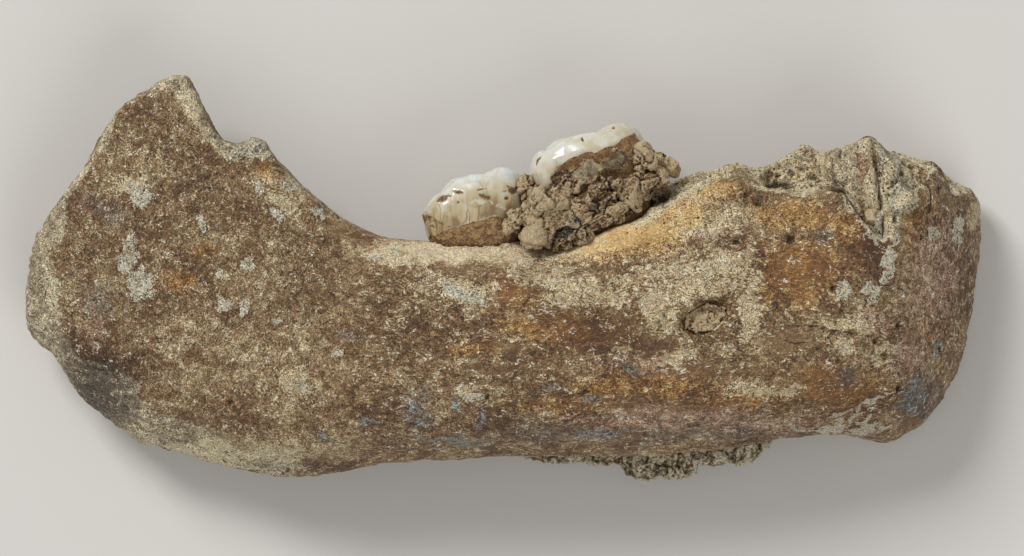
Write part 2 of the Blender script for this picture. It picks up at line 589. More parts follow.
# Colours of the bone from its darkest to its lightest spots
BONE_RAMPS = {
    "brown": ((0.08, "darkest"), (0.26, "dark_brown"), (0.46, "brown"), (0.64, "tan"), (0.80, "cream"),
              (0.98, "pale_cream")),
    "ochre": ((0.05, "rust_dark"), (0.30, "rust"), (0.54, "ochre"), (0.9, "ochre_pale")),
    "pink": ((0.08, "rose_dark"), (0.42, "rose"), (0.70, "rose_pale"), (1.0, "pale_cream")),
    "mauve": ((0.08, "mauve_dark"), (0.42, "mauve"), (0.66, "mauve_pale"), (0.95, "cream")),
    "margin": ((0.10, "edge_dark"), (0.38, "edge_brown"), (0.60, "edge_tan"), (0.85, "pale_cream")),
    "tan": ((0.1, "brown"), (0.5, "cream"), (0.85, "pale_cream")),
    "skin": ((0.12, "brown"), (0.36, "tan"), (0.6, "cream"), (0.95, "pale_cream")),
    "spongy": ((0.10, "rust"), (0.20, "tan"), (0.33, "cream"), (0.52, "pale_cream")),
    "white": ((0.2, "tan"), (0.36, "white"), (0.75, "chalk")),
}
# These follow the flakes alone, and not how light the spot is
RAGGED_RAMPS = ("spongy", "white")
# What lies over the brown, in this order: how much its edge frays, and where it begins and is full
BONE_LAYERS = (
    ("ochre", 0.9, 0.6, 1.5), ("pink", 0.9, 0.6, 1.5), ("skin", 1.1, 0.96, 1.12), ("mauve", 1.0, 0.8, 1.6),
    ("tan", 0.5, 0.65, 0.9), ("spongy", 0.5, 0.65, 0.85), ("margin", 0.4, 0.6, 0.8),
    ("blue", 1.5, 1.2, 2.3), ("white", 1.2, 0.95, 1.15), ("plaster", 0.5, 0.7, 0.78),
    ("rim", 0.8, 0.8, 1.0),
)
LAYER_COLOURS = {"blue": "blue_grey", "plaster": "plaster", "rim": "pale_cream"}


def bone_finish(settings):
    """Mineralised cave bone: brown from iron and manganese, with a frayed tan skin of lime flakes.

    The eye reads matt, finely wormed brown and tan, with white lime, ochre and blue-grey stains.
    """
    finish, tree, place = new_finish("bone_mineralised_weathered")
    share = {name: add(tree, "Attribute", attribute_name=name, out=2) for name in BONE_SHARES}
    # Along the body the flakes are drawn out lengthwise, and at the chin upright
    along = add(tree, "Mapping", {"Vector": place, "Scale": (0.5, 1.0, 0.8)})
    upright = add(tree, "Mapping", {"Vector": place, "Scale": (1.0, 0.45, 0.8)})
    broad = mottle(tree, place, settings.swell, 3.0)
    clump = mottle(tree, place, settings.clump, 3.0, 1.2)
    flake = mottle(tree, place, settings.fibre, 2.0, 1.8, 0.08)
    drawn = mottle(tree, along, settings.fibre, 2.0, 1.3, 0.08)
    stood = mottle(tree, upright, settings.fibre, 2.0, 1.5, 0.08)
    fibre = add(tree, "Mix", {0: share["lengthwise"], 2: flake, 3: drawn})
    fibre = add(tree, "Mix", {0: share["stood"], 2: fibre, 3: stood})
    # Real grain is about 0.1 mm, drawn coarser so that it shows
    grain = mottle(tree, place, settings.grain, 1.0, 0.0)
    ragged = blended(tree, ((clump, 0.5), (fibre, 0.35), (grain, 0.15)))
    # How light each spot is: clouds, flakes and grain, more flakes where the lime skin lies
    light = blended(tree, (
        (broad, 0.22), (clump, 0.26), (fibre, 0.26), (grain, 0.12), (share["cream"], 0.18),
        (share["lift"], 1.0), (0.075, 1.0),
    ))
    calm = blended(tree, ((broad, 0.12), (drawn, 0.18), (share["lift"], 0.9), (grain, 0.1), (0.19, 1.0)))
    calmed = blended(tree, ((share["smooth"], 0.95), (ragged, 0.7), (share["cream"], -0.4)))
    calmed = add(tree, "MapRange", {"Value": calmed, "From Min": 0.5, "From Max": 1.4, "To Max": 0.9})
    light = add(tree, "Mix", {0: calmed, 2: light, 3: calm})
    ramp = {
        name: add(tree, "ValToRGB", {0: ragged if name in RAGGED_RAMPS else light},
                  stops=[(at, getattr(settings, shade)) for at, shade in stops])
        for name, stops in BONE_RAMPS.items()
    }
    base = ramp["brown"]
    for name, fray, low, high in BONE_LAYERS:
        frayed = blended(tree, ((ragged, fray), (share[name], 1.0)))
        shade = ramp.get(name) or getattr(settings, LAYER_COLOURS[name])
        base = layered(tree, base, ((frayed, low, high, shade),))
    # Thin dark gaps wind between the flakes, and small dark pores open in the ochre face
    worm = add(tree, "TexNoise", {"Vector": place, "Scale": 1 / settings.worm, "Detail": 1.0,
                                  "Distortion": 0.9})
    gap = add(tree, "Math", {0: worm, 1: 0.08}, operation="PINGPONG")
    lip = add(tree, "MapRange", {"Value": gap, "From Min": 0.045, "From Max": 0.075,
                                 "To Min": 1.0, "To Max": 1.16})
    dent = add(tree, "MapRange", {"Value": share["smooth"], "To Min": 0.16, "To Max": 0.7})
    gap = add(tree, "MapRange", {"Value": gap, "From Min": 0.004, "From Max": 0.032,
                                 "To Min": dent, "To Max": 1.0})
    pore = add(tree, "TexVoronoi", {"Vector": place, "Scale": 1 / settings.pores})
    pore = blended(tree, ((share["pored"], -0.12), (pore, 1.0), (clump, -0.05)))
    # Broken spongy bone is a fine sieve of tan holes
    sieve = add(tree, "TexVoronoi", {"Vector": place, "Scale": 1 / settings.sieve})
    sieve = blended(tree, ((share["spongy"], -0.2), (clump, -0.16), (sieve, 1.0)))
    base = layered(tree, base, (
        (pore, 0.03, -0.05, settings.dark_brown),
        (sieve, 0.0, -0.14, settings.dark_brown),
    ))
    line = add(tree, "MapRange", {"Value": share["crack"], "From Min": 0.05, "From Max": 0.13,
                                  "To Min": 0.25, "To Max": 1.0})
    dirt = add(tree, "MapRange", {"Value": share["hollow"], "From Min": 0.1, "From Max": 1.0,
                                  "To Min": 1.0, "To Max": 0.28})
    dark_speck = add(tree, "MapRange", {"Value": share["smooth"], "To Min": 0.85, "To Max": 0.94})
    light_speck = add(tree, "Math", {0: 2.0, 1: dark_speck}, operation="SUBTRACT")
    speck = add(tree, "MapRange", {"Value": grain, "To Min": dark_speck, "To Max": light_speck})
    base = shaded(tree, base, (gap, lip, line, dirt, speck))
    height = blended(tree, ((fibre, 0.5), (grain, 0.2), (gap, 0.3), (line, 0.6), (clump, 0.6)))
    normal = add(tree, "Bump", {"Strength": 1.0, "Distance": settings.bump, "Height": height})
    rough = add(tree, "MapRange", {"Value": light, "To Min": 0.52, "To Max": 0.85})
    shader = add(tree, "BsdfPrincipled", {"Base Color": base, "Roughness": rough, "IOR": 1.55,
                                          "Normal": normal})
    add(tree, "OutputMaterial", {"Surface": shader})
    return finish


def enamel_finish(settings):
    """Tooth enamel, polished by wear in life and yellowed in the ground, over brown dentine roots.

    The eye reads a hard, glossy off-white with fine upright brown cracks and dull brown stains.
    """
    finish, tree, place = new_finish("tooth_enamel_aged")
    share = {name: add(tree, "Attribute", attribute_name=name, out=2) for name in TOOTH_SHARES}
    cloud = mottle(tree, place, settings.cloud)
    streaks = add(tree, "Mapping", {"Vector": place, "Scale": (1.0, 0.12, 1.0)})
    streak = mottle(tree, streaks, settings.streak, 2.0, 0.3)
    fray = mottle(tree, place, settings.fray, 3.0, 0.8)
    grit = mottle(tree, place, settings.grit, 1.0, 0.4)
    # How old the enamel looks: yellow and streaked low on the crown, white near its top
    streaked = add(tree, "Math", {0: streak, 1: share["age"]}, operation="MULTIPLY")
    age = blended(tree, ((share["age"], 0.82), (streaked, 0.28), (cloud, 0.28), (-0.07, 1.0)))
    base = add(tree, "ValToRGB", {0: age}, stops=(
        (0.0, settings.enamel_white), (0.35, settings.enamel), (0.7, settings.enamel_yellow),
        (1.0, settings.enamel_brown)))
    # Cracks stand upright, a few mm apart
    tall = add(tree, "Mapping", {"Vector": place, "Scale": (1 / settings.crack_gap,
               1 / settings.crack_length, 1 / settings.crack_gap)})
    bend = add(tree, "TexNoise", {"Vector": place, "Scale": 1 / settings.cloud}, out=1)
    tall = add(tree, "VectorMath", {0: bend, 1: (0.3, 0.3, 0.3), 2: tall}, operation="MULTIPLY_ADD")
    seam = add(tree, "TexVoronoi", {"Vector": tall, "Scale": 1.0}, feature="DISTANCE_TO_EDGE")
    seam = add(tree, "MapRange", {"Value": seam, "From Min": 0.0, "From Max": 0.02,
                                  "To Min": 0.75, "To Max": 0.0})
    seam = add(tree, "Math", {0: seam, 1: share["craze"]}, operation="MULTIPLY")
    base = add(tree, "Mix", {0: seam, 6: base, 7: settings.craze}, out=2, data_type="RGBA")
    root = blended(tree, ((fray, 0.6), (grit, 0.5)))
    root = add(tree, "ValToRGB", {0: root}, stops=(
        (0.15, settings.root_dark), (0.5, settings.root), (0.85, settings.root_pale)))
    stain = blended(tree, ((share["stain"], 1.3), (fray, 0.55), (grit, 0.2)))
    bare = add(tree, "MapRange", {"Value": share["cover"], "From Min": 0.4, "From Max": 0.6,
                                  "To Min": 1.0, "To Max": 0.0})
    tartar = blended(tree, ((share["tartar"], 1.0), (fray, 0.7)))
    chalk = blended(tree, ((share["chalk"], 1.0), (fray, 0.8), (grit, 0.2)))
    crust = add(tree, "ValToRGB", {0: fray}, stops=(
        (0.1, settings.root_dark), (0.45, settings.tartar), (0.9, settings.root)))
    base = layered(tree, base, (
        (chalk, 1.0, 2.0, settings.enamel),
        (stain, 0.85, 1.15, settings.stain_pale),
        (stain, 1.2, 1.7, settings.stain),
        (bare, 0.0, 1.0, root),
        (tartar, 0.75, 1.25, crust),
    ))
    dirt = add(tree, "MapRange", {"Value": share["hollow"], "From Min": 0.15, "From Max": 0.9,
                                  "To Min": 1.0, "To Max": 0.4})
    base = shaded(tree, base, (dirt,))
    dull = add(tree, "MapRange", {"Value": stain, "From Min": 0.9, "From Max": 1.4})
    dull = add(tree, "Math", {0: bare, 1: dull}, operation="MAXIMUM")
    rough = add(tree, "MapRange", {"Value": dull, "To Min": 0.17, "To Max": 0.85})
    height = blended(tree, ((fray, 0.6), (grit, 0.4)))
    height = add(tree, "Math", {0: height, 1: dull}, operation="MULTIPLY")
    normal = add(tree, "Bump", {"Strength": 1.0, "Distance": settings.bump, "Height": height})
    shader = add(tree, "BsdfPrincipled", {
        "Base Color": base, "Roughness": rough, "IOR": 1.63, "Normal": normal,
        "Subsurface Weight": 0.08, "Subsurface Scale": 0.002, "Coat Weight": 0.15,
        "Coat Roughness": 0.12})
    add(tree, "OutputMaterial", {"Surface": shader})
    return finish


def earth_finish(name, settings):
    """Packed cave earth, lime or broken root: grains and crumbs, fully matt.

    The eye reads dusty tops and dark gaps, with a smooth slab of root where the settings have one.
    """
    finish, tree, place = new_finish(name)
    share = {name: add(tree, "Attribute", attribute_name=name, out=2) for name in EARTH_SHARES}
    cloud = mottle(tree, place, settings.crumb * 2.5)
    clod = mottle(tree, place, settings.crumb, 3.0)
    grit = mottle(tree, place, settings.grit, 2.0, 0.4)
    light = blended(tree, (
        (cloud, 0.14), (clod, 0.34), (grit, 0.5), (share["edge"], 0.34), (share["hollow"], -0.5),
        (share["lift"], 1.0)))
    base = add(tree, "ValToRGB", {0: light}, stops=(
        (0.04, settings.darkest), (0.24, settings.dark), (0.5, settings.middle),
        (0.84, settings.pale)))
    accent = blended(tree, ((share["accent"], 1.0), (clod, 0.5), (grit, 0.3)))
    stained = add(tree, "ValToRGB", {0: light}, stops=(
        (0.1, settings.darkest), (0.5, settings.accent), (0.9, settings.pale)))
    base = layered(tree, base, ((accent, 0.8, 1.1, stained),))
    if hasattr(settings, "root"):
        calm = blended(tree, ((cloud, 0.55), (clod, 0.25), (grit, 0.2), (share["hollow"], -0.3)))
        root = add(tree, "ValToRGB", {0: calm}, stops=(
            (0.1, settings.dark), (0.5, settings.root), (0.9, settings.pale)))
        band = blended(tree, ((share["band"], 1.0), (clod, 0.5), (grit, 0.2)))
        base = layered(tree, base, ((share["slab"], 0.35, 0.65, root), (band, 0.8, 1.05, settings.band)))
    height = blended(tree, ((grit, 0.6), (clod, 0.8)))
    normal = add(tree, "Bump", {"Strength": 1.0, "Distance": settings.bump, "Height": height})
    shader = add(tree, "BsdfPrincipled", {"Base Color": base, "Roughness": 0.93, "IOR": 1.5,
                                          "Normal": normal})
    add(tree, "OutputMaterial", {"Surface": shader})
    return finish


class BoneSettings(bpy.types.PropertyGroup):
    faces: length("Face size", "Size of the faces of the bone's mesh", 0.29)
    swell: length("Swell", "Size of the brown clouds in the bone", 4.2)
    clump: length("Clump", "Size of the clumps of flakes", 1.25)
    fibre: length("Fibre", "Size of the tan flakes", 0.42)
    grain: length("Grain", "Size of the fine grain", 0.16)
    worm: length("Gaps", "Size of the winding gaps between flakes", 0.75)
    pores: length("Pores", "Distance between dark pores", 1.1)
    sieve: length("Sieve", "Distance between the holes of spongy bone", 0.62)
    bump: length("Bump", "Height of the finest relief", 0.16)
    darkest: colour("Darkest brown", "Bone in its dark gaps", "#452f1a")
    dark_brown: colour("Dark brown", "Bone between the flakes", "#6c4a29")
    brown: colour("Brown", "Bone under thin flakes", "#8c6c47")
    tan: colour("Tan", "Flakes", "#ab9069")
    cream: colour("Cream", "Lime skin", "#ceb88d")
    pale_cream: colour("Pale cream", "Thickest lime skin and worn edges", "#ecdcb4")
    rust_dark: colour("Dark rust", "Darkest iron stain", "#52351c")
    rust: colour("Rust", "Iron stain", "#80552a")
    ochre: colour("Ochre", "Light iron stain", "#b18444")
    ochre_pale: colour("Pale ochre", "Lightest iron stain", "#f0c888")
    rose_dark: colour("Dark rose", "Striated shelf, dark", "#6f5040")
    rose: colour("Rose", "Striated shelf", "#aa8668")
    rose_pale: colour("Pale rose", "Light streaks of the shelf", "#d2b394")
    mauve_dark: colour("Dark mauve", "Manganese stain, dark", "#4a3b30")
    mauve: colour("Mauve", "Manganese stain", "#7a6653")
    mauve_pale: colour("Pale mauve", "Manganese stain, light", "#a08d75")
    edge_dark: colour("Dark edge", "Worn rear edge in hollows", "#5e5142")
    edge_brown: colour("Brown edge", "Worn rear edge", "#8c7b64")
    edge_tan: colour("Tan edge", "Worn rear edge, light", "#b2a081")
    blue_grey: colour("Blue grey", "Bluish mineral specks", "#8c9898")
    white: colour("White", "Thin white lime", "#ccc3a6")
    chalk: colour("Chalk", "Thickest white lime", "#ded6be")
    plaster: colour("Plaster", "Thick pale fill", "#cbbfa5")


class MolarSettings(bpy.types.PropertyGroup):
    faces: length("Face size", "Size of the faces of the teeth", 0.15)
    cloud: length("Cloud", "Size of the clouds in the enamel", 2.4)
    streak: length("Streak", "Distance between upright streaks", 1.1)
    fray: length("Fray", "Size of the ragged edges of stains", 0.8)
    grit: length("Grit", "Size of the grains on the root", 0.25)
    crack_gap: length("Crack gap", "Distance between upright cracks", 2.2)
    crack_length: length("Crack length", "Length of the upright cracks", 30.0)
    bump: length("Bump", "Height of the relief of stains and roots", 0.14)
    enamel_white: colour("Enamel white", "Brightest enamel", "#dce0dc")
    enamel: colour("Enamel", "Enamel", "#d2ccb8")
    enamel_yellow: colour("Enamel yellow", "Yellowed enamel", "#bfae88")
    enamel_brown: colour("Enamel brown", "Browned enamel", "#917957")
    craze: colour("Crack", "Dirt in the cracks", "#6e5438")
    stain_pale: colour("Pale stain", "Brown stain where it is thin", "#a68a60")
    stain: colour("Stain", "Brown stain", "#62482f")
    root_dark: colour("Root dark", "Darkest dentine of the root", "#6a4a2b")
    root: colour("Root", "Dentine of the root", "#8e6a40")
    root_pale: colour("Root pale", "Palest dentine of the root", "#a98a5a")
    tartar: colour("Tartar", "Layered deposit under the enamel", "#7d5233")


def crumbly(what, sizes, shades):
    """Settings of a crumbly piece: five sizes in mm, and five colours from dark to pale and stained."""
    names = (
        ("faces", "Face size", "Size of the faces of its mesh"),
        ("clod", "Clod", "Size of its broken lumps"),
        ("crumb", "Crumb", "Size of its crumbs"),
        ("grit", "Grit", "Size of its grains"),
        ("bump", "Bump", "Height of its grains"),
        ("darkest", "Darkest", "In its gaps"),
        ("dark", "Dark", "In its hollows"),
        ("middle", "Middle", "Over most of it"),
        ("pale", "Pale", "On its dusty tops and edges"),
        ("accent", "Accent", "Where it is stained or stony"),
    )
    made = [length] * len(sizes) + [colour] * len(shades)
    return {
        key: make(name, "%s: %s" % (what, told.lower()), value)
        for (key, name, told), make, value in zip(names, made, (*sizes, *shades))
    }


class EarthSettings(bpy.types.PropertyGroup):
    __annotations__ = {
        **crumbly("Sediment", (0.17, 3.4, 1.0, 0.24, 0.2),
                  ("#2c2116", "#644c31", "#947855", "#cdb791", "#6b655c")),
        "root": colour("Root slab", "Smooth slab of root", "#a09276"),
        "band": colour("Band", "Iron-stained deposit along the slab", "#7d5336"),
    }


class CrustSettings(bpy.types.PropertyGroup):
    __annotations__ = crumbly("Crust", (0.24, 2.6, 1.3, 0.28, 0.18),
                              ("#4a3a28", "#6b5a45", "#8f7f65", "#d3c8ad", "#93704a"))


class FragmentSettings(bpy.types.PropertyGroup):
    __annotations__ = crumbly("Broken root", (0.12, 2.8, 1.1, 0.2, 0.1),
                              ("#4c3722", "#866a47", "#b39872", "#d2c09b", "#a3865c"))


# Soft lights: place and size in m, and power in W
LIGHTS = (("key_light", (-0.75, 0.95, 1.0), 0.55, 17.5), ("fill_light", (0.5, -1.0, 1.0), 1.0, 7.0))
SKY_STRENGTH = 0.38
# The camera sees its full view width at this height over the floor, in mm, and has this sensor, in mm
SIGHT_HEIGHT = 9
SENSOR_WIDTH = 36.0


class StageSettings(bpy.types.PropertyGroup):
    floor: colour("Floor", "Pale floor", "#d9d6d0")
    sky: colour("Sky", "Soft light from all round", "#ebebeb")
    floor_size: length("Floor size", "Length of the floor's side", 6000.0)
    camera_distance: length("Camera distance", "Height of the camera over the jaw", 1500.0)
    camera_view: length("View width", "Width that the camera sees at the jaw", 122.88)


def carved(points):
    """The points of the broken crest let down to the floors of its open sockets."""
    x, y, z = points.T
    upper = ease((z - 9) / 3)
    z = z - REAR_DEPTH * upper * ease(-outside(points, CREST_REAR) / 0.4)
    z = z - FRONT_DEPTH * upper * ease(-outside(points, CREST_FRONT) / 0.6)
    u, v = (x - CORNER[0]) / STEP, (CORNER[1] - y) / STEP
    left, slit, right = (np.interp(v, *zip(*side)) for side in (BREACH_LEFT, BREACH_SLIT, BREACH_RIGHT))
    across = np.where(u < slit, (u - left) / (slit - left), 1 + (u - slit) / (right - slit))
    inside = upper * ease(-outside(points, BREACH) / 0.5)
    z = z + (np.interp(across, *zip(*BREACH_FLOOR)) - z) * inside
    return np.column_stack((x, y, z))


def bone_shares(points, normals):
    """How much of each colour, finish and kind of break there is at each point of the bone."""
    x, y, z = points.T
    cheek = ease((normals[:, 2] + 0.1) / 0.4)
    away_side = 1 - cheek
    flat = wandered(points, 3)
    close = wandered(points, 5, 0.15, 0.15)
    share = {name: patches(flat, spots, soft) * cheek for name, (soft, spots) in BONE_PATCHES.items()}
    # Away from the cheek side the patches come from noise alone
    side_noise = field(points, 5.0, 31, 2)
    share["cream"] = np.maximum(share["cream"], away_side * ease((side_noise - 0.05) / 0.5))
    share["ochre"] = np.maximum(share["ochre"], away_side * ease((-side_noise - 0.1) / 0.4))
    front_break = ease((x - 52.4) / 0.8) * ease((0.2 - normals[:, 2]) / 0.2)
    crest_top = ease((normals[:, 1] - 0.45) / 0.35) * ease((x - 14) / 3) * ease((15.5 - z) / 2)
    rear_slope = ease(0.5 - outside(close, CREST_REAR) / 0.3) * cheek
    front_slope = ease(0.5 - outside(close, CREST_FRONT) / 0.3) * cheek
    share["spongy"] = np.maximum.reduce([share["spongy"], front_break, 0.7 * crest_top, front_slope])
    share["tan"] = np.maximum(share["tan"], rear_slope)
    # The greyish worn edge at the rear, and the walls of the broken sockets
    margin = ease(outside(flat, FACE_OUTLINE) / 0.5 + 0.5) * ease((-24 - x) / 2)
    share["margin"] = np.maximum.reduce([
        margin * cheek, ease((-54.6 - x) / 1.2), away_side * ease((-30 - x) / 6) * 0.6,
        patches(close, WALL_PATCHES, 0.3) * cheek])
    share["lengthwise"] = ease((x + 24) / 10) * ease((50 - x) / 3) * ease((9 - y) / 4)
    share["stood"] = ease((x - 47) / 4)
    share["pored"] = ease((x - 8) / 8) * ease((y + 2) / 6)
    share["crack"] = away(close, CRACKS)
    rim = np.exp(-(away(close, RIMS) / 0.25) ** 2) * cheek
    rim = np.maximum(rim, 0.6 * np.exp(-(away(close, THIN_RIMS) / 0.14) ** 2) * cheek)
    rim *= np.clip(0.85 + 0.9 * field(points, 1.1, 26, 2), 0, 1)
    share["rim"] = np.maximum(rim, 0.7 * patches(close, BRIGHT_PATCHES, 0.4) * cheek)
    lift = 0.08 * field(points, 9.0, 21, 2) + 0.2 * share["margin"]
    for *spot, amount in TONES:
        lift += amount * patches(flat, (spot,), 0.8)
    share["lift"] = lift * cheek
    return share, cheek, close


def bone_relief(points, share, cheek, holes, marks):
    """Height in mm of the swells, plates, lime, worn strands, holes, marks, cracks and rims."""
    height = SWELL_HEIGHT * field(points, 7.0, 1, 2) + LUMP_HEIGHT * field(points, 2.3, 2, 3)
    plates = ease((field(points, 1.7, 4, 2) + 0.05) / 0.12)
    height += PLATE_HEIGHT * plates * (1 - share["smooth"]) * (1 - share["margin"])
    height += SKIN_HEIGHT * share["cream"] * ease((field(points, 1.0, 6, 2) + 0.1) / 0.2)
    height += WHITE_HEIGHT * share["white"] + FILL_HEIGHT * ease(share["plaster"] / 0.6)
    drawn = points * np.array((0.35, 1.0, 1.0)) + field(points, 3.0, 9)[:, None]
    strands = field(drawn, 1.1, 8, 2)
    worn = STRAND_HEIGHT * strands + WORN_HEIGHT * field(points, 1.6, 7, 2) - WORN_DEPTH
    height += share["margin"] * worn
    height += share["spongy"] * (SPONGE_HEIGHT * field(points, 0.9, 12, 2) - HOLE_DEPTH * holes)
    height += cheek * marks
    height -= CRACK_DEPTH * cheek * np.exp(-(share["crack"] / 0.22) ** 2)
    height += RIM_HEIGHT * share["rim"]
    # The flats that it rests on stay flat
    return height * ease((points[:, 2] - 0.1) / 0.8)


def dress_bone(settings):
    """Bone with its carved breaks, its relief and the shares that its finish follows."""
    piece = fine_copy("jaw_bone", "bone_skin", settings.faces)
    points, links = points_of(piece), links_of(piece)
    crest = ease((points[:, 0] - 14) / 4) * ease((points[:, 1] - 2) / 3)
    points = relaxed(points, links, BONE_ROUNDS, 1 - 0.8 * crest)
    move_points(piece, carved(points))
    even_faces(piece, settings.faces)
    points, links = points_of(piece), links_of(piece)
    points = relaxed(points, links, CARVED_ROUNDS, np.full(len(points), 0.7))
    move_points(piece, points)
    normals = normals_of(piece)
    rise = bulge(points, normals, links)
    share, cheek, close = bone_shares(points, normals)
    # Edges worn pale, but not at the chin or in the ochre and pink stretches
    worn_edge = ease((rise - 0.03) / 0.06) * (1 - ease((points[:, 0] - 46) / 3))
    worn_edge *= 1 - np.maximum(share["ochre"], share["pink"])
    holes = ease((0.34 - cells(points, 1.05, 11)[0]) / 0.14)
    pits = relief(close, PITS)
    height = bone_relief(points, share, cheek, holes, pits + relief(close, RIDGES))
    points = points + normals * height[:, None]
    move_points(piece, points)

    worn = bulge(points, normals_of(piece), links, 1)
    share["rim"] = np.maximum(share["rim"], 0.5 * worn_edge)
    hollow = 0.8 * ease((-worn - 0.012) / 0.05) + ease((-pits - 0.12) / 0.4) * cheek
    share["hollow"] = np.clip(np.maximum(hollow, 0.8 * share["spongy"] * holes), 0, 1)
    share["crack"] += FAR * (1 - cheek)
    paint(piece, **share)
    place_piece(piece, "jaw_bone", bone_finish(settings))


def dress_molar(settings, node, name, border, stains, old, finish):
    """Molar with a stepped lower border to its enamel, worn grooves, stains and a brown root.

    How old it looks goes from 0, white, to 1, yellow and cracked.
    """
    piece = fine_copy(node, name, settings.faces)
    points, links = points_of(piece), links_of(piece)
    points = relaxed(points, links, MOLAR_ROUNDS, np.ones(len(points)))
    move_points(piece, points)
    normals = normals_of(piece)
    flat = wandered(points, 13, 0.7, 0.5)
    x, y, z = points.T
    line = np.array([measured(*spot) for spot in border])
    above = y + 0.25 * field(points, 1.2, 14, 2) - np.interp(x, line[:, 0], line[:, 1])
    cover = ease(above / 0.3 + 0.5)
    low, high = points[above > 0].min(axis=0), points.max(axis=0)
    # From -1 to 1 along the crown and across it, bent a little
    middle, half = (low + high) / 2, (high - low) / 2
    across = (x - middle[0]) / half[0] + 0.16 * field(points, 2.6, 23, 2)
    deep = (z - middle[2]) / half[2] + 0.16 * field(points, 2.6, 24, 2)
    upward = ease((normals[:, 1] - 0.45) / 0.3)
    # Worn grooves: one along the crown, and three that meet it from either side
    fissures = np.exp(-(deep / 0.06) ** 2) * ease((0.6 - np.abs(across)) / 0.3)
    for place, lean, side in ((0.1, 0.35, 1), (-0.12, 0.3, -1), (-0.5, -0.5, 1)):
        groove = np.exp(-((across - place - lean * deep) / 0.05) ** 2)
        fissures += groove * ease(side * deep / 0.1 + 0.5) * ease((0.75 - np.abs(deep)) / 0.4)
    fissures = upward * np.clip(fissures, 0, 1)
    cheek = ease((normals[:, 2] + 0.1) / 0.4)
    stain = patches(flat, stains, 0.6) * cheek
    height = ENAMEL_STEP * (cover - 0.5) + ENAMEL_SWELL * field(points, 2.4, 15, 2)
    height -= GROOVE_DEPTH * fissures + STAIN_DEPTH * stain * cover
    height += WEAR_HEIGHT * upward * field(points, 0.8, 16, 2)
    rough = cells(points + 0.3 * field(points, 0.8, 20)[:, None], 1.0, 17)[0]
    height += (1 - cover) * (ROOT_CRUMB * (0.5 - rough) + ROOT_GRAIN * field(points, 0.6, 17, 2))
    points = points + normals * height[:, None]
    move_points(piece, points)
    worn = bulge(points, normals_of(piece), links, 1)
    stain = np.maximum(stain, (1 - cheek) * 0.6 * ease((field(points, 2.6, 18, 2) - 0.35) / 0.4))
    stain = np.maximum(stain, 0.42 * fissures)
    band = np.exp(-((above + 0.55) / 0.5) ** 2) * ease((-above) / 0.1)
    climb = ease((above - 0.2) / (0.75 * (high[1] - low[1])))
    chalk = patches(flat, CHALK_PATCHES, 0.5) * cheek
    paint(piece, cover=cover, stain=stain, tartar=band * (1.1 - old), chalk=chalk,
          age=old * (1.0 - 0.95 * climb),
          craze=ease((old - 0.2) / 0.4) * (1 - 0.9 * climb),
          hollow=ease((-worn - 0.006) / 0.03))
    place_piece(piece, node, finish)


def dress_earth(settings, node, name, finish, clod=1.0, crumb=1.0, fins=0.0, seed=0,
                accents=(), slabs=(), bands=(), chips=(), lift=0.0, sink=0.0):
    """Crumbly piece: angular clods with creases between them, finer crumbs on each, and grit.

    Clods, crumbs and fins are heights in mm, the sink is how far all of it is let in, also in mm, and
    the lift is how much lighter it is.
    """
    piece = fine_copy(node, name, settings.faces)
    points, links = points_of(piece), links_of(piece)
    points = relaxed(points, links, EARTH_ROUNDS, np.ones(len(points)))
    middle = points.mean(axis=0)
    # Flat broken facets: what stands over each plane is pressed back onto it
    for *direction, reach in chips:
        direction = np.array(direction) / np.linalg.norm(direction)
        over = np.maximum((points - middle) @ direction - reach, 0)
        points = points - over[:, None] * direction
    slab = patches(wandered(points, seed + 9, 0.3, 0.2), slabs, 0.25)
    for _ in range(SLAB_ROUNDS * bool(slabs)):
        points = points + 0.6 * slab[:, None] * (averaged(points, links) - points)
    move_points(piece, points)
    normals = normals_of(piece)
    z = points[:, 2]
    band = patches(wandered(points, seed + 14, 0.3, 0.2), bands, 0.4)
    bent = points + 0.5 * field(points, 1.6, seed + 1, 2)[:, None]
    block = shards(bent, settings.clod / MM, seed + 2)
    seam = cells(bent, CREASE_GAP, seed + 2)[1]
    rest = 1 - slab
    height = clod * rest * (CLOD_LEAN * block + CLOD_ROUND * ease(seam / 0.1) - CLOD_DEPTH)
    small = SHARD_LEAN * shards(bent, SHARD_SIZE, seed + 3) + CRUMB_SWELL * field(points, 0.9, seed + 4, 3)
    height += crumb * (1 - 0.8 * slab) * small + crumb * GRAIN_SWELL * field(points, 0.4, seed + 10)
    height -= sink + SLAB_DEPTH * slab
    if fins:
        sway = field(points, 2.6, seed + 5, 2)
        rows = field(points * np.array((1.6, 0.5, 0.8)) + sway[:, None], 1.3, seed + 7, 2)
        height += fins * rows
    height *= ease((z - 0.05) / 0.6)
    points = points + normals * height[:, None]
    move_points(piece, points)
    worn = bulge(points, normals_of(piece), links, 1)
    crease = clod * rest * 0.7 * ease((0.045 - seam) / 0.045)
    accent = patches(wandered(points, seed + 6), accents, 0.5)
    if not accents:
        accent = ease((field(points, 3.0, seed + 8, 2) - 0.15) / 0.4)
    lift = lift + 0.36 * clod * rest * block + 0.26 * field(points, 4.0, seed + 11, 2)
    paint(piece, edge=ease((worn - 0.006) / 0.035), accent=accent, slab=slab, band=band, lift=lift,
          hollow=np.maximum(ease((-worn - 0.008) / 0.04), crease))
    place_piece(piece, node, finish)


class JAW_OT_bone(bpy.types.Operator):
    """Build the weathered surface of the jaw bone"""

    bl_idname = "jaw.bone"
    bl_label = "Bone"

    def execute(self, context):
        dress_bone(context.scene.jaw_bone_settings)
        return {"FINISHED"}


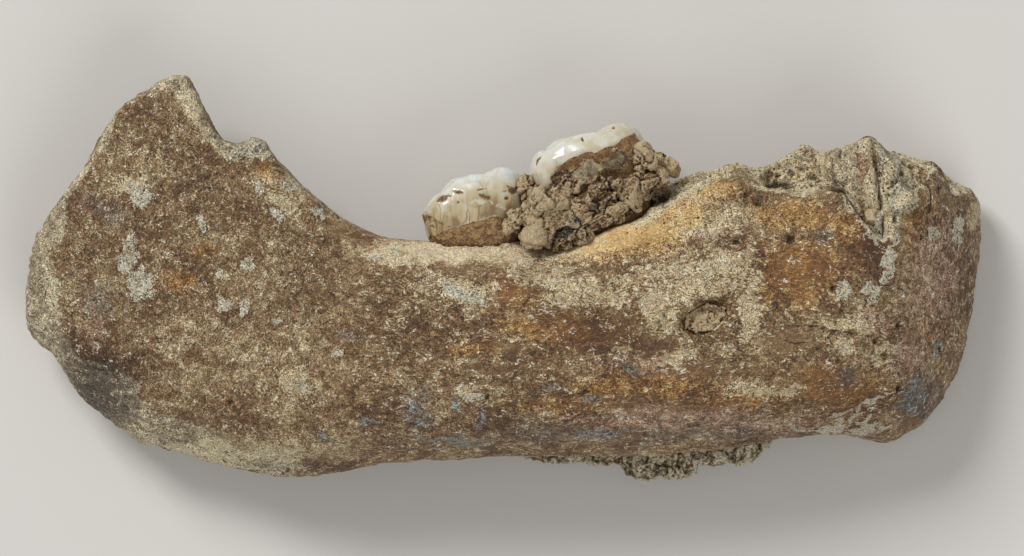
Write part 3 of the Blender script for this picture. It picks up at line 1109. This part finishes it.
class JAW_OT_molars(bpy.types.Operator):
    """Build the two molars with their enamel and roots"""

    bl_idname = "jaw.molars"
    bl_label = "Molars"

    def execute(self, context):
        settings = context.scene.jaw_molar_settings
        finish = enamel_finish(settings)
        for node, name, border, stains, old in (
            ("molar_second", "second_molar", SECOND_BORDER, SECOND_STAINS, 0.85),
            ("molar_first", "first_molar", FIRST_BORDER, FIRST_STAINS, 0.35),
        ):
            dress_molar(settings, node, name, border, stains, old, finish)
        return {"FINISHED"}


class JAW_OT_sediment(bpy.types.Operator):
    """Build the sediment between the molars and in the nerve opening"""

    bl_idname = "jaw.sediment"
    bl_label = "Sediment"

    def execute(self, context):
        settings = context.scene.jaw_earth_settings
        # Cave earth, packed by water and dried: dull brown crumbs with dusty tops
        finish = earth_finish("cave_earth_packed", settings)
        dress_earth(settings, "sediment", "tooth_sediment", finish, 1.0, 0.9, seed=40,
                    accents=GREY_STONES, slabs=ROOT_SLABS, bands=ROOT_BANDS, lift=0.1)
        dress_earth(settings, "foramen_fill", "opening_fill", finish, 0.5, 1.5, seed=50,
                    lift=0.5, sink=0.3)
        return {"FINISHED"}


class JAW_OT_crusts(bpy.types.Operator):
    """Build the lime crusts along the base and the rear"""

    bl_idname = "jaw.crusts"
    bl_label = "Crusts"

    def execute(self, context):
        settings = context.scene.jaw_crust_settings
        # Lime grown from dripping water: pale ridged tips over brown, stained hollows
        finish = earth_finish("lime_crust_grown", settings)
        dress_earth(settings, "crust_base", "base_crust", finish, 0.5, 0.8, 0.35, seed=60)
        dress_earth(settings, "crust_rear", "rear_crust", finish, 0.6, 0.8, seed=70)
        dress_earth(settings, "crust_angle", "angle_crust", finish, 0.6, 0.8, seed=80)
        return {"FINISHED"}


class JAW_OT_fragments(bpy.types.Operator):
    """Build the bits of broken root and bone"""

    bl_idname = "jaw.fragments"
    bl_label = "Fragments"

    def execute(self, context):
        settings = context.scene.jaw_fragment_settings
        # Dentine split along its tubes: pale tan, dull and finely pitted
        finish = earth_finish("root_dentine_broken", settings)
        dress_earth(settings, "root_fragment", "root_bit", finish, 0.25, 0.15, seed=90,
                    chips=ROOT_CHIPS, lift=0.3)
        dress_earth(settings, "socket_flake", "socket_bit", finish, 0.0, 0.15, seed=95,
                    chips=FLAKE_CHIPS, lift=0.5)
        return {"FINISHED"}


class JAW_OT_stage(bpy.types.Operator):
    """Build the floor, lights and camera"""

    bl_idname = "jaw.stage"
    bl_label = "Stage"

    def execute(self, context):
        settings = context.scene.jaw_stage_settings
        scene = context.scene
        half = settings.floor_size / 2
        mesh = bpy.data.meshes.new("floor")
        mesh.from_pydata([(-half, -half, 0), (half, -half, 0), (half, half, 0), (-half, half, 0)],
                         [], [(0, 1, 2, 3)])
        floor = bpy.data.objects.new("floor", mesh)
        scene.collection.objects.link(floor)
        # Matt studio paper, rolled out flat: a plain, even and soft pale ground
        finish, tree, place = new_finish("studio_paper_matt")
        tooth = add(tree, "TexNoise", {"Vector": place, "Scale": 1 / (0.8 * MM), "Detail": 2.0})
        normal = add(tree, "Bump", {"Strength": 0.1, "Distance": 0.05 * MM, "Height": tooth})
        shader = add(tree, "BsdfPrincipled", {"Base Color": settings.floor, "Roughness": 0.95,
                                              "Normal": normal})
        add(tree, "OutputMaterial", {"Surface": shader})
        mesh.materials.append(finish)
        # Soft key from the upper left of the view, and a weak broad fill from the lower right
        for name, place, size, power in LIGHTS:
            data = bpy.data.lights.new(name, "AREA")
            data.shape = "SQUARE"
            data.size = size
            data.energy = power
            light = bpy.data.objects.new(name, data)
            scene.collection.objects.link(light)
            light.location = place
            light.rotation_euler = (-Vector(place)).to_track_quat("-Z", "Y").to_euler()
            light.visible_camera = False
        world = bpy.data.worlds.new("soft_room")
        scene.world = world
        world.use_nodes = True
        sky = world.node_tree.nodes["Background"]
        sky.inputs["Color"].default_value = settings.sky
        sky.inputs["Strength"].default_value = SKY_STRENGTH
        data = bpy.data.cameras.new("museum_view")
        data.sensor_width = SENSOR_WIDTH
        data.lens = SENSOR_WIDTH * settings.camera_distance / settings.camera_view
        camera = bpy.data.objects.new("museum_view", data)
        scene.collection.objects.link(camera)
        middle_x, middle_y = measured(*VIEW_MIDDLE)
        camera.location = (middle_x * MM, middle_y * MM, settings.camera_distance + SIGHT_HEIGHT * MM)
        scene.camera = camera
        scene.view_settings.view_transform = "Standard"
        return {"FINISHED"}


PARTS = (
    ("jaw.bone", "jaw_bone_settings", BoneSettings),
    ("jaw.molars", "jaw_molar_settings", MolarSettings),
    ("jaw.sediment", "jaw_earth_settings", EarthSettings),
    ("jaw.crusts", "jaw_crust_settings", CrustSettings),
    ("jaw.fragments", "jaw_fragment_settings", FragmentSettings),
    ("jaw.stage", "jaw_stage_settings", StageSettings),
)


class JAW_PT_panel(bpy.types.Panel):
    """Lists the pieces of the jaw and their settings"""

    bl_idname = "JAW_PT_panel"
    bl_label = "Fossil half jaw"
    bl_space_type = "VIEW_3D"
    bl_region_type = "UI"
    bl_category = "Jaw"

    def draw(self, context):
        for operator, holder, group in PARTS:
            box = self.layout.box()
            box.operator(operator)
            for name in group.__annotations__:
                box.prop(getattr(context.scene, holder), name)


CLASSES = (
    *(group for _, _, group in PARTS),
    JAW_OT_bone, JAW_OT_molars, JAW_OT_sediment, JAW_OT_crusts, JAW_OT_fragments, JAW_OT_stage,
    JAW_PT_panel,
)


def register():
    for made in CLASSES:
        bpy.utils.register_class(made)
    for _, holder, group in PARTS:
        setattr(bpy.types.Scene, holder, PointerProperty(type=group))


def unregister():
    for _, holder, _ in PARTS:
        delattr(bpy.types.Scene, holder)
    for made in reversed(CLASSES):
        bpy.utils.unregister_class(made)


def main():
    register()
    bpy.ops.jaw.bone()
    bpy.ops.jaw.molars()
    bpy.ops.jaw.sediment()
    bpy.ops.jaw.crusts()
    bpy.ops.jaw.fragments()
    bpy.ops.jaw.stage()


if __name__ == "__main__":
    main()
